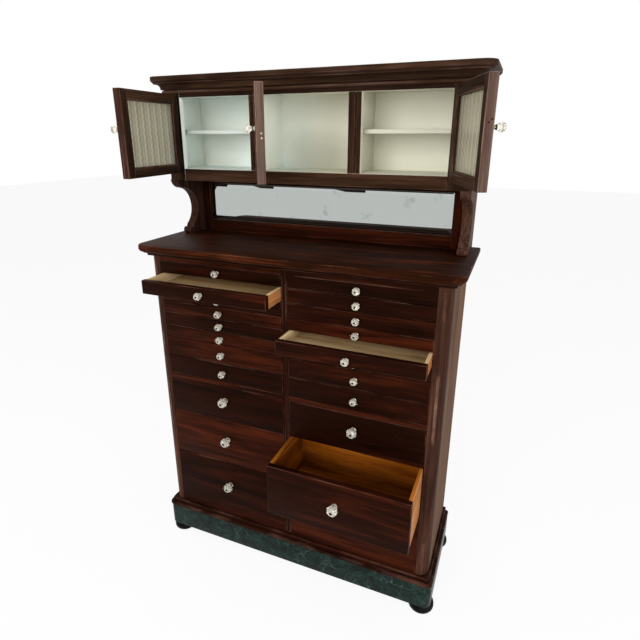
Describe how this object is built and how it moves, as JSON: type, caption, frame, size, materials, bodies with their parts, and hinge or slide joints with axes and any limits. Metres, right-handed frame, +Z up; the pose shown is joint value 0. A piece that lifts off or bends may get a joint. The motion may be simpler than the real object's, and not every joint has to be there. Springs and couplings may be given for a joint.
{
  "type": "dental cabinet",
  "caption": "Floor-standing dental cabinet: a chest of knobbed drawers on a marble plinth, with a mirrored gallery and a glazed three-door wall case.",
  "frame": {"origin": "the point on the floor midway between the four feet: X = 0 is the centre plane of the case, Y = 0 the middle of the case's depth and Z = 0 the floor", "axes": "+X to the right as seen from the front, +Y to the back, +Z up; the drawers and doors face -Y"},
  "size_m": [1.0801, 0.547, 1.634],
  "materials": {
    "mahogany": "French polished",
    "secondary_wood": "bare",
    "painted_board": "painted",
    "green_marble": "polished",
    "textured_glass": "rippled",
    "clear_glass": "faceted, clear",
    "mirror": "polished",
    "brass": "aged",
    "dark_iron": "dull"
  },
  "bodies": {
    "cabinet": {"door_hinges": "brass", "side_left": "mahogany", "side_right": "mahogany", "case_back": "secondary_wood", "centre_partition": "mahogany", "runners": "secondary_wood", "front_rails": "mahogany", "bottom_frame": "secondary_wood", "base_moulding": "mahogany", "marble_plinth": "green_marble", "feet": "dark_iron", "worktop": "mahogany", "worktop_moulding": "mahogany", "bracket_left": "mahogany", "bracket_right": "mahogany", "mirror_frame": "mahogany", "mirror_glass": "mirror", "mirror_back": "secondary_wood", "upper_sides": "mahogany", "upper_top": "painted_board", "upper_bottom": "painted_board", "upper_back": "painted_board", "upper_partitions": "painted_board", "face_frame": "mahogany", "shelves": "painted_board", "crown": "mahogany"},
    "drawer_left_01": {"drawer_left_01": "mahogany"},
    "drawer_left_02": {"drawer_left_02": "mahogany"},
    "drawer_left_03": {"drawer_left_03": "mahogany"},
    "drawer_left_04": {"drawer_left_04": "mahogany"},
    "drawer_left_05": {"drawer_left_05": "mahogany"},
    "drawer_left_06": {"drawer_left_06": "mahogany"},
    "drawer_left_07": {"drawer_left_07": "mahogany"},
    "drawer_left_08": {"drawer_left_08": "mahogany"},
    "drawer_left_09": {"drawer_left_09": "mahogany"},
    "drawer_left_10": {"drawer_left_10": "mahogany"},
    "drawer_left_11": {"drawer_left_11": "mahogany"},
    "drawer_right_01": {"drawer_right_01": "mahogany"},
    "drawer_right_02": {"drawer_right_02": "mahogany"},
    "drawer_right_03": {"drawer_right_03": "mahogany"},
    "drawer_right_04": {"drawer_right_04": "mahogany"},
    "drawer_right_05": {"drawer_right_05": "mahogany"},
    "drawer_right_06": {"drawer_right_06": "mahogany"},
    "drawer_right_07": {"drawer_right_07": "mahogany"},
    "drawer_right_08": {"drawer_right_08": "mahogany"},
    "drawer_right_09": {"drawer_right_09": "mahogany"},
    "drawer_right_10": {"drawer_right_10": "mahogany"},
    "drawer_right_11": {"drawer_right_11": "mahogany"},
    "door_left": {"door_left_frame": "mahogany", "door_left_glass": "textured_glass", "door_left_knob": "clear_glass", "door_left_fittings": "brass"},
    "door_middle": {"door_middle_frame": "mahogany", "door_middle_glass": "textured_glass", "door_middle_knob": "clear_glass", "door_middle_fittings": "brass"},
    "door_right": {"door_right_frame": "mahogany", "door_right_glass": "textured_glass", "door_right_knob": "clear_glass", "door_right_fittings": "brass"}
  },
  "joints": [
    {"name": "drawer_left_01_slide", "type": "slide", "parent": "cabinet", "child": "drawer_left_01", "axis": [0, -1, 0], "range_m": [0, 0.25]},
    {"name": "drawer_left_02_slide", "type": "slide", "parent": "cabinet", "child": "drawer_left_02", "axis": [0, -1, 0], "range_m": [-0.094, 0.156]},
    {"name": "drawer_left_03_slide", "type": "slide", "parent": "cabinet", "child": "drawer_left_03", "axis": [0, -1, 0], "range_m": [0, 0.25]},
    {"name": "drawer_left_04_slide", "type": "slide", "parent": "cabinet", "child": "drawer_left_04", "axis": [0, -1, 0], "range_m": [0, 0.25]},
    {"name": "drawer_left_05_slide", "type": "slide", "parent": "cabinet", "child": "drawer_left_05", "axis": [0, -1, 0], "range_m": [0, 0.25]},
    {"name": "drawer_left_06_slide", "type": "slide", "parent": "cabinet", "child": "drawer_left_06", "axis": [0, -1, 0], "range_m": [0, 0.25]},
    {"name": "drawer_left_07_slide", "type": "slide", "parent": "cabinet", "child": "drawer_left_07", "axis": [0, -1, 0], "range_m": [0, 0.25]},
    {"name": "drawer_left_08_slide", "type": "slide", "parent": "cabinet", "child": "drawer_left_08", "axis": [0, -1, 0], "range_m": [0, 0.25]},
    {"name": "drawer_left_09_slide", "type": "slide", "parent": "cabinet", "child": "drawer_left_09", "axis": [0, -1, 0], "range_m": [0, 0.18]},
    {"name": "drawer_left_10_slide", "type": "slide", "parent": "cabinet", "child": "drawer_left_10", "axis": [0, -1, 0], "range_m": [0, 0.18]},
    {"name": "drawer_left_11_slide", "type": "slide", "parent": "cabinet", "child": "drawer_left_11", "axis": [0, -1, 0], "range_m": [0, 0.18]},
    {"name": "drawer_right_01_slide", "type": "slide", "parent": "cabinet", "child": "drawer_right_01", "axis": [0, -1, 0], "range_m": [0, 0.25]},
    {"name": "drawer_right_02_slide", "type": "slide", "parent": "cabinet", "child": "drawer_right_02", "axis": [0, -1, 0], "range_m": [0, 0.25]},
    {"name": "drawer_right_03_slide", "type": "slide", "parent": "cabinet", "child": "drawer_right_03", "axis": [0, -1, 0], "range_m": [0, 0.25]},
    {"name": "drawer_right_04_slide", "type": "slide", "parent": "cabinet", "child": "drawer_right_04", "axis": [0, -1, 0], "range_m": [0, 0.25]},
    {"name": "drawer_right_05_slide", "type": "slide", "parent": "cabinet", "child": "drawer_right_05", "axis": [0, -1, 0], "range_m": [-0.084, 0.166]},
    {"name": "drawer_right_06_slide", "type": "slide", "parent": "cabinet", "child": "drawer_right_06", "axis": [0, -1, 0], "range_m": [0, 0.25]},
    {"name": "drawer_right_07_slide", "type": "slide", "parent": "cabinet", "child": "drawer_right_07", "axis": [0, -1, 0], "range_m": [0, 0.25]},
    {"name": "drawer_right_08_slide", "type": "slide", "parent": "cabinet", "child": "drawer_right_08", "axis": [0, -1, 0], "range_m": [0, 0.25]},
    {"name": "drawer_right_09_slide", "type": "slide", "parent": "cabinet", "child": "drawer_right_09", "axis": [0, -1, 0], "range_m": [0, 0.18]},
    {"name": "drawer_right_10_slide", "type": "slide", "parent": "cabinet", "child": "drawer_right_10", "axis": [0, -1, 0], "range_m": [-0.16, 0.02]},
    {"name": "drawer_right_11_slide", "type": "slide", "parent": "cabinet", "child": "drawer_right_11", "axis": [0, -1, 0], "range_m": [0, 0.18]},
    {"name": "door_left_hinge", "type": "hinge", "parent": "cabinet", "child": "door_left", "pos_m": [-0.4262, -0.0335, 1.46325], "axis": [0, 0, -1], "range_deg": [-85.4, 27.6]},
    {"name": "door_middle_hinge", "type": "hinge", "parent": "cabinet", "child": "door_middle", "pos_m": [-0.1465, -0.0538, 1.46325], "axis": [0, 0, -1], "range_deg": [-60, 45]},
    {"name": "door_right_hinge", "type": "hinge", "parent": "cabinet", "child": "door_right", "pos_m": [0.4262, -0.0335, 1.46325], "axis": [0, 0, 1], "range_deg": [-110.7, 2.3]}
  ]
}
